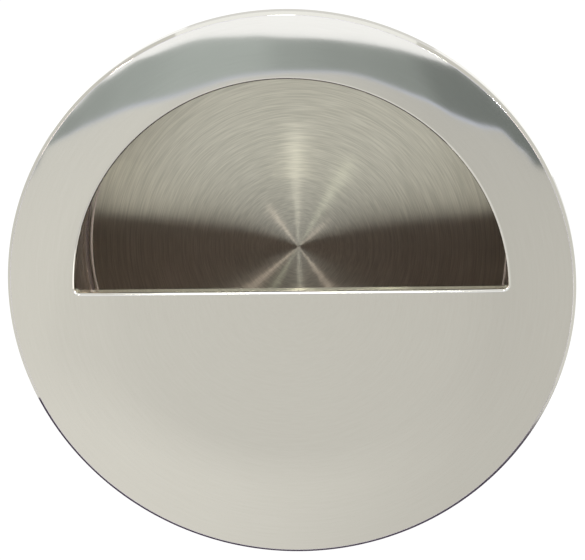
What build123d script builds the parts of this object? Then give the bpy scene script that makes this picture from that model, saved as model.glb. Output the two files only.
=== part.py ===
from build123d import *
import os

# A round recessed pull for a sliding or hinged door. A drawn cup sits in a bore in the door, and
# countersunk wood screws hold its flange. A polished cover with a half-moon opening clips over the
# flange and hides the screws. The fingers go in through the half moon, behind the covered half.
#
# Millimetres. The origin is on the cup's axis, in the plane of the door's surface.
# -Y points out of the door towards the hand, +Y into the door, +Z up.

# cup: one drawn and turned piece with a flat floor, its rim turned out over the door as a flange
cup_sheet = 1.0
cup_inner_r = 34.8
cup_depth = 19.2  # from the flange's front to the floor
cup_floor_break = 1.2  # bevel inside, where the wall meets the floor
cup_back_break = 1.6  # bevel outside, round the cup's back
cup_mouth_break = 0.4  # bevel at the mouth, under the cover
flange_inner_land = 0.8  # between the cup's outside and the screw heads
flange_edge_land = 0.8  # between the screw heads and the flange's edge
step_width = 0.8  # the flange's edge is coined thinner from behind, so that the cover can clip under it
step_depth = 0.5

# fixing screws: countersunk wood screws, 3 x 16
screw_count = 4
screw_shank_r = 1.5
screw_head_r = 2.75
screw_length = 16.0  # over all, as countersunk screws are sized
screw_point_length = 2.8
screw_point_r = 0.2
screw_sink = 0.05  # the head lies this far below the flange's face
screw_clearance = 0.1  # round the head and the shank
recess_reach = 1.4  # cross recess in the head
recess_width = 0.85
recess_depth = 1.1
recess_taper = 12

# cover: a stout plate with its rim turned back to the door
cover_sheet = 2.0  # at the flat of the face
crown_width = 18.0  # the face is flat in the middle and falls away in one arc to the rim
crown_drop = 1.0
rim_wall = 1.65
rim_clearance = 0.15  # between the rim and the flange's edge
rim_break = 0.45  # bevel where the face meets the side of the rim
rim_relief = 0.1  # the rim stops this short of the door, so that the flange takes the load

# half-moon opening in the cover
opening_overhang = 0.3  # how far the cover reaches in over the cup's wall
opening_drop = 1.0  # the straight edge lies this far below the cup's axis
opening_corner_r = 0.8
lip_round = 0.4  # front edge of the opening, where the fingers bear
lip_back_break = 0.25

# clip nibs inside the rim, which catch under the step of the flange
nib_count = 4
nib_arc = 10
nib_reach = 0.45
nib_root = 0.3  # how deep the nib runs into the rim
nib_clearance = 0.05

# where the pieces meet
flange_front_y = -cup_sheet
cup_outer_r = cup_inner_r + cup_sheet
cup_floor_y = flange_front_y + cup_depth
screw_top_y = flange_front_y + screw_sink
screw_seat_r = screw_head_r + screw_clearance + screw_sink  # at the flange's face
screw_circle_r = cup_outer_r + flange_inner_land + screw_seat_r
first_screw = 180 / screw_count  # the screws stand either side of the upright
flange_r = screw_circle_r + screw_seat_r + flange_edge_land
step_y = flange_front_y + step_depth
rim_inner_r = flange_r + rim_clearance
cover_r = rim_inner_r + rim_wall
cover_front_y = flange_front_y - cover_sheet
opening_r = cup_inner_r - opening_overhang


with BuildPart() as cup:
    with BuildSketch(Plane.XY):
        with BuildLine():
            inside = Polyline(
                (0, cup_floor_y),
                (cup_inner_r - cup_floor_break, cup_floor_y),
                (cup_inner_r, cup_floor_y - cup_floor_break),
                (cup_inner_r, flange_front_y + cup_mouth_break),
                (cup_inner_r + cup_mouth_break, flange_front_y),
                (flange_r, flange_front_y),
            )
            outside = Polyline(
                (0, cup_floor_y + cup_sheet),
                (cup_outer_r - cup_back_break, cup_floor_y + cup_sheet),
                (cup_outer_r, cup_floor_y + cup_sheet - cup_back_break),
                (cup_outer_r, 0),
                (flange_r - step_width, 0),
                (flange_r - step_width, step_y),
                (flange_r, step_y),
            )
            Line(inside @ 0, outside @ 0)
            Line(inside @ 1, outside @ 1)
        make_face()
    revolve(axis=Axis.Y)
    with Locations(Plane.XZ.offset(-flange_front_y)):
        with PolarLocations(screw_circle_r, screw_count, start_angle=first_screw):
            CounterSinkHole(
                radius=screw_shank_r + screw_clearance,
                counter_sink_radius=screw_seat_r,
                depth=cup_sheet,
                counter_sink_angle=90,
            )


with BuildPart() as cover_plate:
    with BuildSketch(Plane.XY) as section:
        with BuildLine():
            face = Line((0, cover_front_y), (cover_r - crown_width, cover_front_y))
            crown = TangentArc(face @ 1, (cover_r, cover_front_y + crown_drop), tangent=face % 1)
            Polyline(
                crown @ 1,
                (cover_r, -rim_relief),
                (rim_inner_r, -rim_relief),
                (rim_inner_r, flange_front_y),
                (0, flange_front_y),
                face @ 0,
            )
        make_face()
        chamfer(section.vertices().filter_by(lambda v: v.X > rim_inner_r).sort_by(Axis.Y)[0], rim_break)
    revolve(axis=Axis.Y)

    with BuildSketch(Plane.XZ.offset(-flange_front_y)) as half_moon:
        Circle(opening_r)
        with Locations((0, -opening_drop)):
            Rectangle(2 * opening_r, opening_r, align=(Align.CENTER, Align.MAX), mode=Mode.SUBTRACT)
        fillet(half_moon.vertices(), opening_corner_r)
    extrude(amount=cover_sheet, mode=Mode.SUBTRACT)
    opening_edges = cover_plate.edges(Select.LAST)
    middle_y = (cover_front_y + flange_front_y) / 2
    front_lip = opening_edges.filter_by(lambda e: e.bounding_box().max.Y < middle_y)
    back_lip = opening_edges.filter_by(lambda e: e.bounding_box().min.Y > middle_y)
    fillet(front_lip, lip_round)
    chamfer(back_lip, lip_back_break)

    # each nib is a short segment of a ring, square in front and sloping behind to ride over the flange
    nib_tip_r = rim_inner_r - nib_reach
    nib_front_y = step_y + nib_clearance
    nib_back_y = -rim_relief
    for station in range(nib_count):
        turn = station * 360 / nib_count - nib_arc / 2
        with BuildSketch(Plane.XY.rotated((0, turn, 0))):
            with BuildLine():
                Polyline(
                    (rim_inner_r + nib_root, nib_front_y),
                    (nib_tip_r, nib_front_y),
                    (nib_tip_r, (nib_front_y + nib_back_y) / 2),
                    (rim_inner_r, nib_back_y),
                    (rim_inner_r + nib_root, nib_back_y),
                    close=True,
                )
            make_face()
        revolve(axis=Axis.Y, revolution_arc=nib_arc)


# one screw by itself, point down, with the top of its head at zero
with BuildPart() as screw:
    with BuildSketch(Plane.XZ):
        with BuildLine():
            Polyline(
                (0, 0),
                (screw_head_r, 0),
                (screw_shank_r, screw_shank_r - screw_head_r),
                (screw_shank_r, screw_point_length - screw_length),
                (screw_point_r, -screw_length),
                (0, -screw_length),
                close=True,
            )
        make_face()
    revolve(axis=Axis.Z)
    with BuildSketch(Plane.XY):
        Rectangle(2 * recess_reach, recess_width)
        Rectangle(recess_width, 2 * recess_reach)
    extrude(amount=-recess_depth, taper=recess_taper, mode=Mode.SUBTRACT)

with BuildPart() as fixing_screws:
    with Locations(Plane.XZ.offset(-screw_top_y)):
        with PolarLocations(screw_circle_r, screw_count, start_angle=first_screw):
            add(screw.part)


os.makedirs("parts", exist_ok=True)

cup.part.label = "cup"
cover_plate.part.label = "cover_plate"
fixing_screws.part.label = "fixing_screws"

export_step(cup.part, "parts/cup.step")
export_step(cover_plate.part, "parts/cover_plate.step")
export_step(fixing_screws.part, "parts/fixing_screws.step")
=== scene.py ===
from math import atan2, cos, degrees, hypot, pi, radians, sin, sqrt

import bmesh
import bpy
from mathutils import Matrix, Vector


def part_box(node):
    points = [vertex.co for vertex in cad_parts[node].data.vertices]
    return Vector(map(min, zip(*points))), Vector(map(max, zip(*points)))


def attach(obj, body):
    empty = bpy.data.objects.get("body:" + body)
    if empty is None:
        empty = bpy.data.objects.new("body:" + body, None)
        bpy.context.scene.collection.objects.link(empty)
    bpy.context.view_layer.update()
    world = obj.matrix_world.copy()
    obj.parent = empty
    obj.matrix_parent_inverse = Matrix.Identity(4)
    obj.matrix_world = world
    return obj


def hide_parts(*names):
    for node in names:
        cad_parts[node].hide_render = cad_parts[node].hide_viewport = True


# A round recessed pull: a turned steel cup, a polished clip-on cover with a half-moon opening, and
# four countersunk screws behind the cover. The pieces' sizes and the camera's aim are in millimetres.
# The studio's distances and the heights of grain, waves and bumps are in metres.

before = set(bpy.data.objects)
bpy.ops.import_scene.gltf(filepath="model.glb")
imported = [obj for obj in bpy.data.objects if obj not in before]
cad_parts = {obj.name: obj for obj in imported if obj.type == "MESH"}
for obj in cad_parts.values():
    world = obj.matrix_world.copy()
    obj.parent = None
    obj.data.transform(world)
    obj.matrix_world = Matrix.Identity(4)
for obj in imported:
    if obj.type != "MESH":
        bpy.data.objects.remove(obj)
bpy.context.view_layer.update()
mm = 0.001
print("frame loaded:", ", ".join(sorted(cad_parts)))


# corners are (x, y, radius); each with a radius becomes an arc, with a short flat held at either end
def roundedPath(corners, steps=6):
    path = []
    for i, (x, y, radius) in enumerate(corners):
        here = Vector((x, y))
        if not radius:
            path.append(here)
            continue
        before = (Vector(corners[i - 1][:2]) - here).normalized()
        after = (Vector(corners[(i + 1) % len(corners)][:2]) - here).normalized()
        half = before.angle(after) / 2
        reach = radius / (sin(half) / cos(half))
        centre = here + (before + after).normalized() * (radius / sin(half))
        start, end = here + before * reach, here + after * reach
        path.append(start + before * radius * 0.1)
        a, b = start - centre, end - centre
        sweep = a.angle(b)
        for s in range(steps + 1):
            t = s / steps
            path.append(centre + (a * sin((1 - t) * sweep) + b * sin(t * sweep)) / sin(sweep))
        path.append(end + after * radius * 0.1)
    return path


# each vertex keeps "edge", which is 1 where the surface turns a corner outwards
def newPiece(name, bm, materials, sharp=32):
    bmesh.ops.recalc_face_normals(bm, faces=bm.faces[:])
    edgeLayer = bm.verts.layers.float.new("edge")
    for v in bm.verts:
        turns = [e.calc_face_angle_signed(0.0) for e in v.link_edges]
        v[edgeLayer] = min(1.0, max(turns + [0.0]) / radians(8))
    mesh = bpy.data.meshes.new(name)
    for face in bm.faces:
        face.smooth = True
    bm.to_mesh(mesh)
    bm.free()
    mesh.set_sharp_from_angle(angle=radians(sharp))
    for material in materials:
        mesh.materials.append(material)
    piece = bpy.data.objects.new(name, mesh)
    bpy.context.scene.collection.objects.link(piece)
    return piece


# joins each ring of vertices to the next; a ring of one vertex is a pole on the axis
def skinRings(bm, rings, closed=True):
    pairs = list(zip(rings, rings[1:] + rings[:1] if closed else rings[1:]))
    for a, b in pairs:
        count = max(len(a), len(b))
        for i in range(count):
            j = (i + 1) % count
            corners = []
            for v in (a[i % len(a)], a[j % len(a)], b[j % len(b)], b[i % len(b)]):
                if v not in corners:
                    corners.append(v)
            if len(corners) > 2:
                bm.faces.new(corners)


# path is (distance from the axis, y), turned round the Y axis
def latheRings(bm, path, count):
    rings = []
    for p in path:
        if p.x < 1e-6:
            rings.append([bm.verts.new((0, p.y * mm, 0))])
            continue
        ring = []
        for i in range(count):
            a = 2 * pi * i / count
            ring.append(bm.verts.new((p.x * mm * cos(a), p.y * mm, p.x * mm * sin(a))))
        rings.append(ring)
    return rings


# takes the cutter's form out of the piece, and removes the cutter
def cutAway(piece, cutter):
    modifier = piece.modifiers.new("cut", "BOOLEAN")
    modifier.object, modifier.solver = cutter, "EXACT"
    graph = bpy.context.evaluated_depsgraph_get()
    mesh = bpy.data.meshes.new_from_object(piece.evaluated_get(graph))
    piece.modifiers.clear()
    old, piece.data = piece.data, mesh
    mesh.name = old.name
    bpy.data.meshes.remove(old)
    bpy.data.objects.remove(cutter)
    return piece


# a short way to write a node tree: n.add("ShaderNodeMath", {0: value or socket}, operation="ADD")
class Nodes:
    def __init__(self, tree):
        self.tree = tree

    def add(self, kind, inputs=None, **settings):
        node = self.tree.nodes.new(kind)
        for key, value in settings.items():
            setattr(node, key, value)
        for key, value in (inputs or {}).items():
            if isinstance(value, bpy.types.NodeSocket):
                self.tree.links.new(value, node.inputs[key])
            else:
                node.inputs[key].default_value = value
        return node

    def math(self, operation, a, b=0.0, clamp=False):
        return self.add("ShaderNodeMath", {0: a, 1: b}, operation=operation, use_clamp=clamp).outputs[0]

    # mixes two colours, each a tuple or a socket
    def blend(self, share, first, second):
        node = self.add("ShaderNodeMix", {0: share}, data_type="RGBA")
        for index, value in ((6, first), (7, second)):
            if isinstance(value, bpy.types.NodeSocket):
                self.tree.links.new(value, node.inputs[index])
            else:
                node.inputs[index].default_value = (*value, 1)
        return node.outputs[2]

    def ramp(self, fac, *stops):
        node = self.add("ShaderNodeValToRGB", {"Fac": fac})
        stopList = node.color_ramp.elements
        stopList[0].position, stopList[0].color = stops[0][0], (*[stops[0][1]] * 3, 1)
        stopList[1].position, stopList[1].color = stops[-1][0], (*[stops[-1][1]] * 3, 1)
        for position, level in stops[1:-1]:
            stopList.new(position).color = (level, level, level, 1)
        return node.outputs["Color"]


# inputs are (name, value); outputs are names of float sockets
def newGroup(name, inputs, outputs):
    tree = bpy.data.node_groups.new(name, "ShaderNodeTree")
    for label, value in inputs:
        socket = tree.interface.new_socket(name=label, in_out="INPUT", socket_type="NodeSocketFloat")
        socket.default_value = value
    for label in outputs:
        tree.interface.new_socket(name=label, in_out="OUTPUT", socket_type="NodeSocketFloat")
    n = Nodes(tree)
    return tree, n, n.add("NodeGroupInput").outputs, n.add("NodeGroupOutput")


def placeGroup(n, tree, **values):
    node = n.add("ShaderNodeGroup", node_tree=tree)
    for label, value in values.items():
        node.inputs[label].default_value = value
    return node.outputs


def newMaterial(name):
    material = bpy.data.materials.new(name)
    material.use_nodes = True
    material.node_tree.nodes.clear()
    n = Nodes(material.node_tree)
    return material, n, n.add("ShaderNodeOutputMaterial")


# turned grain: fine rings about the Y axis, on a floor, a wall or a flange alike
def makeTurnedGrain():
    tree, n, given, out = newGroup(
        "turnedGrain", [("ringsPerMm", 3.0), ("wander", 0.3), ("depth", 1.0)], ["height", "tone"]
    )
    place = n.add("ShaderNodeSeparateXYZ", {0: n.add("ShaderNodeTexCoord").outputs["Object"]}).outputs
    radius = n.math("SQRT", n.math("ADD", n.math("MULTIPLY", place["X"], place["X"]),
                                   n.math("MULTIPLY", place["Z"], place["Z"])))
    along = n.math("MULTIPLY", n.math("ADD", radius, n.math("MULTIPLY", place["Y"], 1.7)), 1000.0)
    angle = n.math("ARCTAN2", place["Z"], place["X"])
    spot = n.add("ShaderNodeCombineXYZ", {
        "X": n.math("MULTIPLY", along, given["ringsPerMm"]),
        "Y": n.math("MULTIPLY", n.math("ABSOLUTE", angle), given["wander"]),
    }).outputs[0]
    # streaks of two sizes; the fine ones also give the height
    noises = []
    for scale in (1.0, 0.33):
        settings = {"Vector": spot, "Scale": scale, "Detail": 1.0, "Roughness": 0.5}
        noises.append(n.add("ShaderNodeTexNoise", settings).outputs["Fac"])
    fine, coarse = noises
    n.tree.links.new(n.math("MULTIPLY", fine, given["depth"]), out.inputs["height"])
    mixed = n.math("ADD", n.math("MULTIPLY", fine, 0.6), n.math("MULTIPLY", coarse, 0.4))
    n.tree.links.new(mixed, out.inputs["tone"])
    return tree


# handling: faint smudges and hairline scratches
def makeHandling():
    tree, n, given, out = newGroup(
        "handling", [("smudges", 1.0), ("scratches", 1.0), ("scratchTurn", 0.0)], ["haze", "height"]
    )
    place = n.add("ShaderNodeTexCoord").outputs["Object"]
    cloud = n.add("ShaderNodeTexNoise", {"Vector": place, "Scale": 55.0, "Detail": 4.0, "Roughness": 0.55})
    haze = n.math("MULTIPLY", n.ramp(cloud.outputs["Fac"], (0.3, 0.0), (0.8, 1.0)), given["smudges"])
    turned = n.add("ShaderNodeVectorRotate", {"Vector": place, "Angle": given["scratchTurn"]},
                   rotation_type="Y_AXIS")
    drawn = n.add("ShaderNodeMapping", {"Vector": turned.outputs[0], "Scale": (2600.0, 60.0, 60.0)})
    hair = n.add("ShaderNodeTexNoise", {"Vector": drawn.outputs[0], "Scale": 1.0, "Detail": 2.0})
    lines = n.ramp(hair.outputs["Fac"], (0.6, 0.0), (0.72, 1.0))
    n.tree.links.new(haze, out.inputs["haze"])
    n.tree.links.new(n.math("MULTIPLY", lines, given["scratches"]), out.inputs["height"])
    return tree


# rubbed edges: a mask that is high where the metal turns a corner outwards
def makeRubbedEdges():
    tree, n, given, out = newGroup("rubbedEdges", [("wear", 1.0)], ["mask"])
    edge = n.add("ShaderNodeAttribute", attribute_name="edge").outputs["Fac"]
    raised = n.math("MULTIPLY", edge, given["wear"], clamp=True)
    patch = n.add("ShaderNodeTexNoise", {"Vector": n.add("ShaderNodeTexCoord").outputs["Object"],
                                         "Scale": 420.0, "Detail": 3.0})
    n.tree.links.new(n.math("MULTIPLY", raised, patch.outputs["Fac"], clamp=True), out.inputs["mask"])
    return tree


turnedGrain, handling, rubbedEdges = makeTurnedGrain(), makeHandling(), makeRubbedEdges()


polish = dict(
    colour=(0.57, 0.555, 0.495), grain=(0.558, 0.543, 0.483), ringsPerMm=7.0, rubbed=(0.62, 0.61, 0.56),
    wander=8.0, roughness=0.035, hazeRoughness=0.035, scratchTurn=0.8, wear=1.2,
    waveSize=70.0, waveHeight=0.0000035, scratchHeight=0.0000001,
)


def makePolishedSteel():
    material, n, out = newMaterial("polishedSteel")
    marks = placeGroup(n, handling, smudges=1.0, scratches=1.0, scratchTurn=polish["scratchTurn"])
    edges = placeGroup(n, rubbedEdges, wear=polish["wear"])
    grain = placeGroup(n, turnedGrain, ringsPerMm=polish["ringsPerMm"], wander=polish["wander"], depth=1.0)
    tone = n.ramp(grain["tone"], (0.38, 0.0), (0.62, 1.0))
    colour = n.blend(edges["mask"], n.blend(tone, polish["grain"], polish["colour"]), polish["rubbed"])
    haze = n.math("MULTIPLY", marks["haze"], polish["hazeRoughness"])
    roughness = n.math("ADD", haze, polish["roughness"])
    place = n.add("ShaderNodeTexCoord").outputs["Object"]
    wave = n.add("ShaderNodeTexNoise", {"Vector": place, "Scale": polish["waveSize"], "Detail": 1.0})
    height = n.math("ADD", n.math("MULTIPLY", wave.outputs["Fac"], polish["waveHeight"]),
                    n.math("MULTIPLY", marks["height"], polish["scratchHeight"]))
    bump = n.add("ShaderNodeBump", {"Height": height, "Strength": 1.0, "Distance": 1.0})
    shader = n.add("ShaderNodeBsdfPrincipled", {"Base Color": colour, "Metallic": 1.0,
                                                "Roughness": roughness, "Normal": bump.outputs[0]})
    n.tree.links.new(shader.outputs[0], out.inputs[0])
    return material


satin = dict(
    wander=5.0, grainDepth=0.000013,
    floor=dict(light=(0.57, 0.55, 0.45), dark=(0.445, 0.43, 0.35),
               roughness=0.29, anisotropy=1.0, rings=7.0, depthShare=1.0),
    wall=dict(light=(0.66, 0.61, 0.55), dark=(0.53, 0.49, 0.45),
              roughness=0.26, anisotropy=0.8, rings=10.5, depthShare=0.04),
    back=dict(light=(0.50, 0.49, 0.46), dark=(0.42, 0.41, 0.385),
              roughness=0.42, anisotropy=0.5, rings=1.6, depthShare=0.1),
    runOut=dict(light=(0.66, 0.61, 0.55), dark=(0.53, 0.49, 0.45),
                roughness=0.75, anisotropy=0.0, rings=6.0, depthShare=0.1),
    # painted reflection: the cover's hidden back is tinted pale violet and lighter than steel, so that the
    # cup floor's dark zone, which reflects it, reads violet
    covered=dict(light=(0.79, 0.73, 0.87), dark=(0.71, 0.66, 0.79),
                 roughness=0.42, anisotropy=0.5, rings=1.6, depthShare=0.1),
)


# steel with rings of turning round the Y axis; it scatters light across the rings, not along them
def makeTurnedSteel(name, light, dark, roughness, anisotropy, rings, depthShare):
    material, n, out = newMaterial(name)
    grain = placeGroup(n, turnedGrain, ringsPerMm=rings, wander=satin["wander"], depth=1.0)
    marks = placeGroup(n, handling, smudges=0.6, scratches=0.4, scratchTurn=0.3)
    edges = placeGroup(n, rubbedEdges, wear=1.0)
    tone = n.ramp(grain["tone"], (0.38, 0.0), (0.62, 1.0))
    worn = [min(1, c * 1.15) for c in light]
    colour = n.blend(n.math("MULTIPLY", edges["mask"], 0.5), n.blend(tone, dark, light), worn)
    rough = n.math("ADD", n.math("ADD", n.math("MULTIPLY", grain["tone"], 0.05), roughness - 0.025),
                   n.math("MULTIPLY", marks["haze"], 0.04))
    height = n.math("MULTIPLY", grain["height"], satin["grainDepth"] * depthShare)
    bump = n.add("ShaderNodeBump", {"Height": height, "Strength": 1.0, "Distance": 1.0})
    shader = n.add("ShaderNodeBsdfPrincipled", {
        "Base Color": colour, "Metallic": 1.0, "Roughness": rough, "Anisotropic": anisotropy,
        "Anisotropic Rotation": 0.25, "Normal": bump.outputs[0],
        "Tangent": n.add("ShaderNodeTangent", direction_type="RADIAL", axis="Y").outputs[0],
    })
    n.tree.links.new(shader.outputs[0], out.inputs[0])
    return material


polishedSteel = makePolishedSteel()
turnedSteel = makeTurnedSteel("turnedSteel", **satin["floor"])
wallSteel = makeTurnedSteel("wallSteel", **satin["wall"])
backSteel = makeTurnedSteel("backSteel", **satin["back"])
runOutSteel = makeTurnedSteel("runOutSteel", **satin["runOut"])
coveredPaintedReflectionSteel = makeTurnedSteel("coveredPaintedReflectionSteel", **satin["covered"])
print("finishes made")


cup = dict(
    sheet=1.0, innerRadius=34.8, floorRound=1.1, mouthRound=0.4, backRound=1.6, edgeRound=0.12,
    stepWidth=0.8, stepDepth=0.5, around=360,
    runOut=(33.35, 33.65),  # where the turning tool leaves a pale ring
)
cupLow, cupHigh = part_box("cup")
flangeRadius, flangeFront, cupBack = cupHigh.x / mm, cupLow.y / mm, cupHigh.y / mm
cupFloor = cupBack - cup["sheet"]


def makeCup():
    inner, outer, edge = cup["innerRadius"], cup["innerRadius"] + cup["sheet"], cup["edgeRound"]
    path = roundedPath([
        (0, cupFloor, 0),
        (inner, cupFloor, cup["floorRound"]),
        (inner, flangeFront, cup["mouthRound"]),
        (flangeRadius, flangeFront, edge),
        (flangeRadius, flangeFront + cup["stepDepth"], edge / 2),
        (flangeRadius - cup["stepWidth"], flangeFront + cup["stepDepth"], edge / 2),
        (flangeRadius - cup["stepWidth"], 0, edge),
        (outer, 0, edge),
        (outer, cupBack, cup["backRound"]),
        (0, cupBack, 0),
    ])
    floorSteps = [Vector((inner * s / 24, cupFloor)) for s in range(1, 23)]
    floorSteps += [Vector((radius, cupFloor)) for radius in cup["runOut"]]
    wallSteps = [Vector((inner, cupFloor + (flangeFront - cupFloor) * s / 12)) for s in range(1, 12)]
    bend = next(i for i, p in enumerate(path) if p.x > inner - 1e-4)
    path = path[:1] + floorSteps + path[1:bend + 2] + wallSteps + path[bend + 2:]
    bm = bmesh.new()
    skinRings(bm, latheRings(bm, path, cup["around"]), closed=False)
    piece = newPiece("drawn_cup", bm, [turnedSteel, wallSteel, backSteel, runOutSteel])
    for face in piece.data.polygons:
        centre = face.center / mm
        far = hypot(centre.x, centre.z)
        onFloor = abs(centre.y - cupFloor) < 0.9 and far < inner - 0.7 and face.normal.y < -0.3
        onWall = far < inner + 0.5 and not onFloor and centre.y < cupFloor + 0.01
        face.material_index = 0 if onFloor else 1 if onWall else 2
        if onFloor and cup["runOut"][0] < far < cup["runOut"][1]:
            face.material_index = 3
    return piece


screws = dict(
    count=4, first=45.0, circle=39.5, clearance=0.1, sunk=0.05, turnEach=17,
    headRadius=2.75, headEdge=0.12, neckRadius=1.2, neckEnd=2.2, shankRadius=1.5, coreRadius=1.05,
    length=16.0, pointLength=2.8, tipRadius=0.04, pitch=1.35, plainLength=4.2, ridgeShare=0.22,
    threadStart=2.4, stepsPerTurn=14, around=40, crossReach=1.4, crossWidth=0.85, crossDepth=1.1,
    colour=(0.52, 0.51, 0.48), rubbed=(0.64, 0.63, 0.6),
    roughness=0.24, roughnessSpread=0.16, bumpHeight=0.000004,
)


def screwPlaces():
    for i in range(screws["count"]):
        a = radians(screws["first"] + 360 / screws["count"] * i)
        yield screws["circle"] * cos(a), screws["circle"] * sin(a)


# the countersunk holes in the flange
def makeSeatCutter():
    bm = bmesh.new()
    seat = screws["headRadius"] + screws["clearance"] + screws["sunk"]
    hole = screws["shankRadius"] + screws["clearance"]
    for x, z in screwPlaces():
        path = [(0, -1), (seat + 1, -1), (hole, seat - hole), (hole, 3), (0, 3)]
        rings = latheRings(bm, [Vector((r, flangeFront + y)) for r, y in path], 48)
        for ring in rings:
            for v in ring:
                v.co.x += x * mm
                v.co.z += z * mm
        skinRings(bm, rings, closed=False)
    return newPiece("seatCutter", bm, [])


cupPiece = cutAway(makeCup(), makeSeatCutter())
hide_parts("cup")
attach(cupPiece, "root")
print("cup made:", len(cupPiece.data.polygons), "faces")


cover = dict(
    sheet=2.0, crownWidth=18.0, crownDrop=1.0, rimWall=1.65, rimBreak=0.45, edgeRound=0.1,
    openingRadius=34.25, openingLine=-0.5, openingCorner=0.8, lipRound=0.5, lipBack=0.25,
    nibs=4, nibArc=10.0, nibReach=0.45, nibFront=-0.45, faceRings=44, lipSteps=10,
    backRings=6, arcSteps=380, lineSteps=260, cornerSteps=20,
)
coverLow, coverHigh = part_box("cover_plate")
coverRadius, coverFront, coverBack = coverHigh.x / mm, coverLow.y / mm, coverHigh.y / mm


# the front surface: flat in the middle, falling away in one arc to the rim
def coverFace(x, z):
    over = hypot(x, z) - (coverRadius - cover["crownWidth"])
    if over <= 0:
        return coverFront
    arc = (cover["crownWidth"] ** 2 + cover["crownDrop"] ** 2) / (2 * cover["crownDrop"])
    return coverFront + arc - sqrt(arc * arc - over * over)


# once round the opening: (point on its outline, direction into the metal, angle on the rim)
def coverStations():
    big, small, line = cover["openingRadius"], cover["openingCorner"], cover["openingLine"]
    cornerZ = line + small
    cornerX = sqrt((big - small) ** 2 - cornerZ ** 2)
    touch = atan2(cornerZ, cornerX)
    spread = radians(4)  # of the rim, that each corner of the opening takes
    stations = []
    for i in range(cover["arcSteps"]):
        a = touch + (pi - 2 * touch) * i / cover["arcSteps"]
        stations.append((Vector((big * cos(a), big * sin(a))), Vector((cos(a), sin(a))), a))
    for side in (-1, 1):
        if side == 1:
            for i in range(1, cover["lineSteps"]):
                t = i / cover["lineSteps"]
                rim = pi - touch + spread + (pi + 2 * touch - 2 * spread) * t
                stations.append((Vector((-cornerX * cos(pi * t), line)), Vector((0, -1)), rim))
        for i in range(cover["cornerSteps"] + (side == -1)):
            t = i / cover["cornerSteps"]
            if side == -1:
                a = pi - touch + (pi / 2 + touch) * t
                rim = pi - touch + spread * t
            else:
                a = 1.5 * pi + (pi / 2 + touch) * t
                rim = 2 * pi + touch - spread * (1 - t)
            inward = Vector((cos(a), sin(a)))
            stations.append((Vector((side * cornerX, cornerZ)) + inward * small, inward, rim))
    return stations


# true where a nib stands on the inside of the rim
def nibAt(angle):
    apart = (degrees(angle) + 180 / cover["nibs"]) % (360 / cover["nibs"]) - 180 / cover["nibs"]
    return abs(apart) < cover["nibArc"] / 2


def makeCover():
    stations = coverStations()
    inside = coverRadius - cover["rimWall"]
    plateBack = coverFront + cover["sheet"]
    lip, back, edge = cover["lipRound"], cover["lipBack"], cover["edgeRound"]
    bm = bmesh.new()
    rings = []

    def addRing(place):
        ring = []
        for outline, inward, angle in stations:
            x, y, z = place(outline, inward, angle)
            ring.append(bm.verts.new((x * mm, y * mm, z * mm)))
        rings.append(ring)

    def aroundOpening(offset, depth=None, drop=0.0):
        def place(outline, inward, angle):
            p = outline + inward * offset
            return p.x, (coverFace(*p) + drop if depth is None else depth), p.y
        addRing(place)

    def aroundRim(radius, depth):
        addRing(lambda outline, inward, angle: (radius * cos(angle), depth, radius * sin(angle)))

    # front lip, from the wall of the opening out to the face
    aroundOpening(0, drop=lip * 1.15)
    for s in range(cover["lipSteps"] + 1):
        t = pi / 2 * s / cover["lipSteps"]
        aroundOpening(lip * (1 - cos(t)), drop=lip * (1 - sin(t)))
    # face and crown, as far as the bevel at the rim
    faceEnd = coverRadius - cover["rimBreak"]
    first, last = lip * 1.1, edge * 0.1

    def across(share):
        def place(outline, inward, angle):
            a = outline + inward * first
            b = Vector((cos(angle), sin(angle))) * (faceEnd - last)
            p = a.lerp(b, share)
            return p.x, coverFace(*p), p.y
        return place
    for s in range(cover["faceRings"] + 1):
        addRing(across(s / cover["faceRings"]))
    # bevel, side and back of the rim
    crownEnd = coverFace(faceEnd, 0)
    width, drop = cover["crownWidth"], cover["crownDrop"]
    slope = width / ((width ** 2 + drop ** 2) / 2 / drop)
    rimCorners = [
        (faceEnd - 1, crownEnd - slope, 0),
        (faceEnd, crownEnd, edge),
        (coverRadius, coverFace(coverRadius - 1e-6, 0) + cover["rimBreak"], edge),
        (coverRadius, coverBack, edge),
        (inside, coverBack, edge),
        (inside, plateBack, 0),
    ]
    for p in roundedPath(rimCorners, 4)[1:-1]:
        aroundRim(p.x, p.y)
    # inside of the rim with its nibs
    reach, front = cover["nibReach"], cover["nibFront"]
    nibRings = (
        (coverBack - 0.12, 0), ((front + coverBack) / 2, 1), (front + 0.02, 1), (front, 1),
        (front - 0.002, 0),
    )
    for depth, share in nibRings:
        def place(outline, inward, angle, depth=depth, share=share):
            radius = inside - (reach * share if nibAt(angle) else 0)
            return radius * cos(angle), depth, radius * sin(angle)
        addRing(place)
    aroundRim(inside, plateBack + 0.02)
    aroundRim(inside, plateBack)
    aroundRim(inside - 0.02, plateBack)
    # back of the plate, and the back of the lip
    for s in range(1, cover["backRings"] + 1):
        def place(outline, inward, angle, share=s / cover["backRings"]):
            a = Vector((cos(angle), sin(angle))) * (inside - 0.02)
            p = a.lerp(outline + inward * (back + 0.03), share)
            return p.x, plateBack, p.y
        addRing(place)
    aroundOpening(back, depth=plateBack)
    aroundOpening(back * 0.3, depth=plateBack - back * 0.7)
    aroundOpening(0, depth=plateBack - back)
    aroundOpening(0, depth=plateBack - back - 0.03)
    skinRings(bm, rings)
    piece = newPiece("polished_cover", bm, [polishedSteel, coveredPaintedReflectionSteel])
    # faces hidden at the back take the pale violet painted-reflection tint
    for face in piece.data.polygons:
        centre = face.center / mm
        far = hypot(centre.x, centre.z)
        hidden = face.normal.y > 0.5 and far < coverRadius - 0.2
        hidden |= inside - 1 < far < inside + 0.05 and centre.y > plateBack - 0.01
        face.material_index = 1 if hidden else 0
    return piece


coverPiece = makeCover()
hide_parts("cover_plate")
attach(coverPiece, "root")
print("cover made:", len(coverPiece.data.polygons), "faces")


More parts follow.
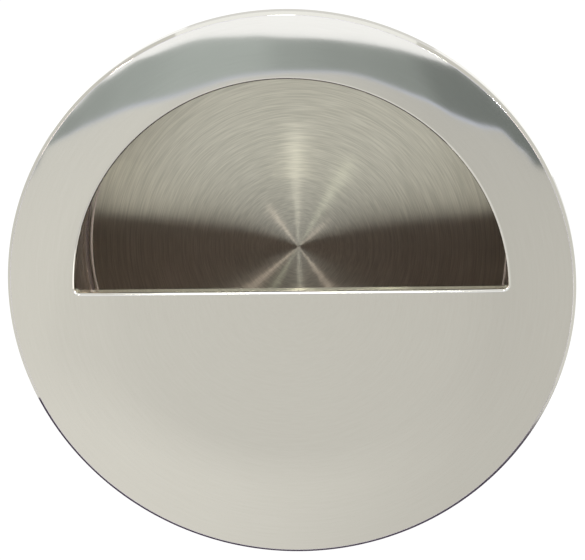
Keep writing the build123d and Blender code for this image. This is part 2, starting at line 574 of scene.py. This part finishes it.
def makeScrewSteel():
    material, n, out = newMaterial("screwSteel")
    edges = placeGroup(n, rubbedEdges, wear=1.0)
    place = n.add("ShaderNodeTexCoord").outputs["Object"]
    cloud = n.add("ShaderNodeTexNoise", {"Vector": place, "Scale": 900.0, "Detail": 4.0})
    colour = n.blend(edges["mask"], screws["colour"], screws["rubbed"])
    spread = n.math("MULTIPLY", cloud.outputs["Fac"], screws["roughnessSpread"])
    rough = n.math("ADD", spread, screws["roughness"])
    height = n.math("MULTIPLY", cloud.outputs["Fac"], screws["bumpHeight"])
    bump = n.add("ShaderNodeBump", {"Height": height, "Strength": 1.0, "Distance": 1.0})
    shader = n.add("ShaderNodeBsdfPrincipled", {"Base Color": colour, "Metallic": 1.0,
                                                "Roughness": rough, "Normal": bump.outputs[0]})
    n.tree.links.new(shader.outputs[0], out.inputs[0])
    return material


screwSteel = makeScrewSteel()


# distance of the screw's surface from its axis, at a depth below the head's top
def threadRadius(depth, angle):
    length, point = screws["length"], screws["pointLength"]
    core, crest = screws["coreRadius"], screws["shankRadius"]
    left = length - depth
    taper = min(1.0, left / point)
    turn = (depth / screws["pitch"] + angle / (2 * pi)) % 1.0
    ridge = max(0.0, 1 - abs(turn - 0.5) / screws["ridgeShare"])
    fadeIn = min(1.0, max(0.0, (depth - screws["plainLength"]) / screws["pitch"]))
    plain = screws["neckRadius"] * (1 - fadeIn) + core * fadeIn
    return (plain + (crest - plain) * ridge * fadeIn) * taper + screws["tipRadius"] * (1 - taper)


def makeScrew():
    around, edge = screws["around"], screws["headEdge"]
    head, neck = screws["headRadius"], screws["neckRadius"]
    bm = bmesh.new()
    rings = [[bm.verts.new((0, 0, 0))]]
    headPath = [
        (head * 0.97, 0), (head, -0.04), (head, -edge), (neck, -edge - (head - neck)),
        (neck, -screws["neckEnd"]),
    ]
    for radius, y in headPath:
        rings.append([bm.verts.new((radius * mm * cos(a), radius * mm * sin(a), y * mm))
                      for a in (2 * pi * i / around for i in range(around))])
    threadLength = screws["length"] - screws["threadStart"]
    stepCount = int(threadLength / screws["pitch"] * screws["stepsPerTurn"])
    for s in range(stepCount + 1):
        depth = screws["threadStart"] + threadLength * s / stepCount
        ring = []
        for i in range(around):
            a = 2 * pi * i / around
            r = threadRadius(depth, a) * mm
            ring.append(bm.verts.new((r * cos(a), r * sin(a), -depth * mm)))
        rings.append(ring)
    rings.append([bm.verts.new((0, 0, -screws["length"] * mm))])
    skinRings(bm, rings, closed=False)
    return newPiece("fixing_screw_1", bm, [screwSteel], sharp=40)


# each arm as shares of the recess's reach and width: wide above the head, narrow at its foot
def makeCrossCutter():
    bm = bmesh.new()
    reach, half, deep = screws["crossReach"] * mm, screws["crossWidth"] / 2 * mm, screws["crossDepth"] * mm
    for turn in (0, 1):
        corners = []
        for long, wide, z in ((1.25, 1.05, 0.0003), (0.55, 0.8, -deep)):
            for sx, sy in ((-1, -1), (1, -1), (1, 1), (-1, 1)):
                x, y = sx * reach * long, sy * half * wide
                corners.append(bm.verts.new((y, x, z) if turn else (x, y, z)))
        bm.faces.new(corners[:4])
        bm.faces.new(corners[4:])
        for i in range(4):
            j = (i + 1) % 4
            bm.faces.new((corners[i], corners[j], corners[4 + j], corners[4 + i]))
    return newPiece("crossCutter", bm, [])


firstScrew = cutAway(makeScrew(), makeCrossCutter())
for index, (x, z) in enumerate(screwPlaces()):
    piece = firstScrew if index == 0 else bpy.data.objects.new(f"fixing_screw_{index + 1}", firstScrew.data)
    if index:
        bpy.context.scene.collection.objects.link(piece)
    piece.location = (x * mm, (flangeFront + screws["sunk"]) * mm, z * mm)
    piece.rotation_euler = (radians(90), radians(screws["turnEach"] * index), 0)
    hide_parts("fixing_screws")
    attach(piece, "root")
print("screws made:", screws["count"])


studio = dict(
    floorDrop=0.30, floorReach=1.9, floorColour=(0.88, 0.88, 0.87), floorShade=0.15, floorGlow=0.93,
    # painted light: the front of the floor glows brighter on the left and close by, a painted pool of light
    # for the crown to reflect
    acrossFront=(-0.30, 0.20),  # the front of the floor is a little paler on the left and close by
    farGlow=(
        (0.06, 0.93), (0.16, 0.88), (0.28, 0.87), (0.48, 0.80), (0.62, 0.745), (0.75, 0.705), (0.94, 0.72),
    ),
    nearGlow=((0.30, 0.97), (0.44, 0.935), (0.53, 0.875), (0.62, 0.80), (0.72, 0.74), (0.90, 0.71)),
    frontFrom=-0.1, frontBlend=0.3, closeFrom=-0.74, closeBlend=0.18,  # along y, in metres
    floorAround=96, worldLight=0.5,
)


def directionOf(azimuth, elevation):
    a, e = radians(azimuth), radians(elevation)
    return Vector((sin(a) * cos(e), -cos(a) * cos(e), sin(e)))


# 1 for camera, glossy and transmission rays
def seenRays(n):
    path = n.add("ShaderNodeLightPath").outputs
    return n.math("ADD", n.math("ADD", path["Is Camera Ray"], path["Is Glossy Ray"]),
                  path["Is Transmission Ray"], clamp=True)


def makeFloor():
    material, n, out = newMaterial("paleFloor")
    place = n.add("ShaderNodeSeparateXYZ", {0: n.add("ShaderNodeTexCoord").outputs["Object"]}).outputs
    # painted light: the glow is ramped across and along the front of the floor, a painted pool of light
    left, right = studio["acrossFront"]
    share = n.math("DIVIDE", n.math("SUBTRACT", place["X"], left), right - left, clamp=True)
    inFront = n.math("DIVIDE", n.math("SUBTRACT", studio["frontFrom"], place["Y"]),
                     studio["frontBlend"], clamp=True)
    closeBy = n.math("DIVIDE", n.math("SUBTRACT", place["Y"], studio["closeFrom"]),
                     studio["closeBlend"], clamp=True)
    front = n.add("ShaderNodeMix", {0: closeBy, 2: n.ramp(share, *studio["farGlow"]),
                                    3: n.ramp(share, *studio["nearGlow"])})
    glow = n.add("ShaderNodeMix", {0: inFront, 2: studio["floorGlow"], 3: front.outputs[0]})
    lit = n.add("ShaderNodeBsdfDiffuse", {"Color": (*studio["floorColour"], 1)})
    shade = [c * studio["floorShade"] for c in studio["floorColour"]]
    part = n.add("ShaderNodeBsdfDiffuse", {"Color": (*shade, 1)})
    white = n.add("ShaderNodeEmission", {"Color": (1, 1, 1, 1), "Strength": glow.outputs[0]})
    both = n.add("ShaderNodeAddShader", {0: part.outputs[0], 1: white.outputs[0]})
    pick = n.add("ShaderNodeMixShader", {0: seenRays(n), 1: lit.outputs[0], 2: both.outputs[0]})
    n.tree.links.new(pick.outputs[0], out.inputs[0])
    bm = bmesh.new()
    level = -studio["floorDrop"]
    rings = [[bm.verts.new((0, 0, level))]]
    for radius in (studio["floorReach"] / 2, studio["floorReach"]):
        rings.append([bm.verts.new((radius * cos(a), radius * sin(a), level))
                      for a in (2 * pi * i / studio["floorAround"] for i in range(studio["floorAround"]))])
    skinRings(bm, rings, closed=False)
    floor = newPiece("floor", bm, [material])


# painted reflection: the card's colour, its fringe and its level at each azimuth paint the dark band and
# pale fringe seen in the crown
card = dict(
    distance=1.5, columns=160, colour=(1.0, 1.11, 1.14),
    fringeColour=(0.87, 0.93, 1.15), fringe=(0.04, 0.09),
    steps=(  # azimuth, foot, top, level
        (-20, -0.34, -0.32, 0.70), (-19.4, -0.32, -0.29, 0.45), (-18.7, -0.29, -0.25, 0.40),
        (-18, -0.255, -0.24, 0.44), (-16.5, -0.25, -0.195, 0.45), (-14.5, -0.245, -0.15, 0.50),
        (-12, -0.245, -0.12, 0.56), (-8.5, -0.26, -0.10, 0.64), (-5.5, -0.245, -0.11, 0.64),
        (-3.5, -0.24, -0.12, 0.52), (-1, -0.23, -0.12, 0.46), (2.5, -0.25, -0.12, 0.42),
        (4.5, -0.265, -0.125, 0.30), (6, -0.265, -0.13, 0.29), (8, -0.255, -0.165, 0.28),
        (9.5, -0.28, -0.205, 0.28), (11, -0.32, -0.24, 0.25), (12, -0.345, -0.28, 0.27),
        (12.6, -0.36, -0.32, 0.35),
    ),
)


# the step values at one azimuth, easing from each step to the next
def cardAt(azimuth):
    for before, after in zip(card["steps"], card["steps"][1:]):
        if azimuth <= after[0]:
            break
    t = (azimuth - before[0]) / (after[0] - before[0])
    t = t * t * (3 - 2 * t)
    return [a + (b - a) * t for a, b in zip(before[1:], after[1:])]


# a glowing card hangs in front, seen only in reflections: its levels paint the dark band that the polished
# crown shows, and a pale blue fringe along its foot paints the band's lower edge
def makeCard():
    material, n, out = newMaterial("paintedReflectionCard")
    level = n.add("ShaderNodeAttribute", attribute_name="level").outputs["Fac"]
    rise = n.add("ShaderNodeAttribute", attribute_name="rise").outputs["Fac"]
    dark = n.add("ShaderNodeVectorMath", {0: card["colour"], 1: level}, operation="MULTIPLY")
    above = n.ramp(rise, (card["fringe"][0], 0.0), (card["fringe"][1], 1.0))
    colour = n.blend(above, card["fringeColour"], dark.outputs[0])
    glow = n.add("ShaderNodeEmission", {"Color": colour, "Strength": 1.0})
    n.tree.links.new(glow.outputs[0], out.inputs[0])
    bm = bmesh.new()
    levelLayer, riseLayer = bm.verts.layers.float.new("level"), bm.verts.layers.float.new("rise")
    first, last = card["steps"][0][0], card["steps"][-1][0]
    previous = []
    for i in range(card["columns"] + 1):
        azimuth = first + (last - first) * i / card["columns"]
        foot, top, tone = cardAt(azimuth)
        column = []
        for share in (0, card["fringe"][0], card["fringe"][1], 1):
            a = radians(azimuth)
            z = foot + (top - foot) * share
            v = bm.verts.new((card["distance"] * sin(a), -card["distance"] * cos(a), z))
            v[levelLayer], v[riseLayer] = tone, share
            column.append(v)
        for (a, b), (c, d) in zip(zip(previous, previous[1:]), zip(column, column[1:])):
            bm.faces.new((a, c, d, b))
        previous = column
    piece = newPiece("paintedReflectionCard", bm, [material])
    piece.visible_camera = piece.visible_shadow = piece.visible_diffuse = False


# a dark sheet under the object, seen only in reflections: it paints the shade below the object for the
# edges that look straight down; it is in three parts, with a gap
underSheet = dict(
    height=-0.22, colour=(0.11, 0.09, 0.14),
    parts=(  # across and along
        ((-0.28, 0.28), (0.066, 0.5)), ((-0.15, -0.035), (0.022, 0.066)), ((-0.15, 0.28), (-0.13, 0.022)),
    ),
)


def makeUnderSheet():
    material, n, out = newMaterial("underSheet")
    glow = n.add("ShaderNodeEmission", {"Color": (*underSheet["colour"], 1), "Strength": 1.0})
    n.tree.links.new(glow.outputs[0], out.inputs[0])
    bm = bmesh.new()
    z = underSheet["height"]
    for (x0, x1), (y0, y1) in underSheet["parts"]:
        bm.faces.new([bm.verts.new(p) for p in ((x0, y0, z), (x1, y0, z), (x1, y1, z), (x0, y1, z))])
    piece = newPiece("underSheet", bm, [material])
    piece.visible_camera = piece.visible_shadow = piece.visible_diffuse = False


def makeWorld():
    world = bpy.data.worlds.new("studio")
    bpy.context.scene.world = world
    world.use_nodes = True
    n = Nodes(world.node_tree)
    n.tree.nodes.clear()
    seen = n.add("ShaderNodeBackground", {"Color": (1, 1, 1, 1), "Strength": 1.0})
    lit = n.add("ShaderNodeBackground", {"Color": (1, 1, 1, 1), "Strength": studio["worldLight"]})
    pick = n.add("ShaderNodeMixShader", {0: seenRays(n), 1: lit.outputs[0], 2: seen.outputs[0]})
    n.add("ShaderNodeOutputWorld", {0: pick.outputs[0]})


def addLamp(name, azimuth, elevation, distance, size, power, colour):
    data = bpy.data.lights.new(name, "AREA")
    data.shape, data.size, data.size_y = "RECTANGLE", size[0], size[1]
    data.energy, data.color = power, colour
    lamp = bpy.data.objects.new(name, data)
    bpy.context.scene.collection.objects.link(lamp)
    lamp.location = directionOf(azimuth, elevation) * distance
    lamp.rotation_euler = directionOf(azimuth, elevation).to_track_quat("Z", "Y").to_euler()
    lamp.visible_camera = False


makeFloor()
makeCard()
makeUnderSheet()
makeWorld()
lamps = [  # name, azimuth, elevation, distance, size, power, colour
    ("keyLamp", -4.5, 36, 1.3, (0.11, 0.24), 1.8, (1.0, 0.99, 0.95)),
    ("rightLamp", 30, 30, 1.3, (0.10, 0.14), 1.7, (0.95, 1.0, 0.86)),
    ("leftLamp", -46, 30, 1.3, (0.10, 0.12), 3.9, (1.0, 0.86, 0.82)),
    ("farRightLamp", 52, 22.5, 1.3, (0.10, 0.12), 5.0, (1.0, 0.86, 0.82)),
    ("warmRight", 66, 18, 1.4, (0.28, 0.35), 1.6, (1.0, 0.80, 0.72)),
    ("warmLeft", -72, 18, 1.4, (0.28, 0.35), 1.6, (1.0, 0.80, 0.72)),
    ("lowRight", 48, -21, 0.55, (0.42, 0.11), 0.18, (1.0, 1.0, 1.0)),
    ("softRear", 180, 0, 1.5, (1.3, 0.58), 1.0, (0.9, 0.93, 1.0)),
    ("softWall", -4, 1.8, 1.9, (1.8, 0.76), 3.09, (0.79, 0.83, 1.0)),
    ("softFront", -16, 37, 1.5, (1.9, 0.85), 0.55, (0.86, 0.9, 1.0)),
    ("softRoof", 0, 75, 1.5, (1.9, 1.0), 3.2, (0.86, 0.9, 1.0)),
    ("softBack", 0, 130, 1.5, (1.9, 1.4), 5.5, (0.86, 0.9, 1.0)),
]
for lampValues in lamps:
    addLamp(*lampValues)
print("studio made")

camera = dict(
    azimuth=3.98, elevation=18.5, roll=-1.83, distance=0.90, lens=350.96, aimUp=1.338, aimRight=0.277,
)


def makeCamera():
    data = bpy.data.cameras.new("camera")
    data.lens, data.sensor_width, data.clip_start, data.clip_end = camera["lens"], 36.0, 0.01, 20.0
    view = bpy.data.objects.new("camera", data)
    bpy.context.scene.collection.objects.link(view)
    bpy.context.scene.camera = view
    back = directionOf(camera["azimuth"], camera["elevation"])
    right = Vector((0, 0, 1)).cross(back).normalized()
    up = back.cross(right)
    roll = radians(camera["roll"])
    right, up = right * cos(roll) + up * sin(roll), up * cos(roll) - right * sin(roll)
    middle = Vector((0, coverFront * mm, 0))
    view.location = middle + back * camera["distance"]
    target = middle + up * camera["aimUp"] * mm + right * camera["aimRight"] * mm
    look = (view.location - target).normalized()
    side = up.cross(look).normalized()
    top = look.cross(side)
    view.rotation_euler = Matrix((side, top, look)).transposed().to_euler()


makeCamera()
bpy.context.scene.view_settings.view_transform = "Standard"
bpy.context.scene.cycles.max_bounces = bpy.context.scene.cycles.glossy_bounces = 12
